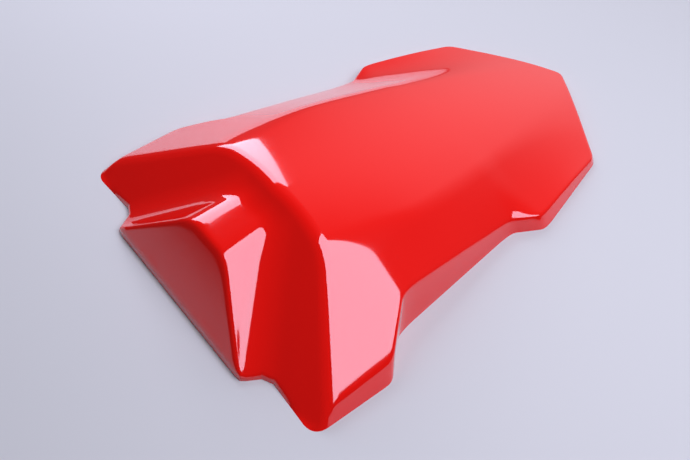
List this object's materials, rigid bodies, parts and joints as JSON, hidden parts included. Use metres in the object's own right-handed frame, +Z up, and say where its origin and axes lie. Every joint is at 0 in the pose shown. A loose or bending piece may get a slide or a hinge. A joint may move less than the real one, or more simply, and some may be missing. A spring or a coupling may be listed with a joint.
{
  "type": "seat cowl",
  "caption": "Moulded gloss-red seat cowl for a motorbike's pillion seat: angular thin shell with stubby wings, a blunt nose and a pointed tail, open underneath.",
  "frame": {"origin": "under the middle of the part's length, on its middle plane, in the plane of the lower rim", "axes": "+X from the nose to the tail, +Y to the right-hand side when the nose leads, +Z up"},
  "size_m": [0.3238, 0.2234, 0.0527],
  "materials": {
    "paint": "gloss red paint"
  },
  "bodies": {
    "root": {"cowl_shell": "paint"}
  },
  "joints": []
}
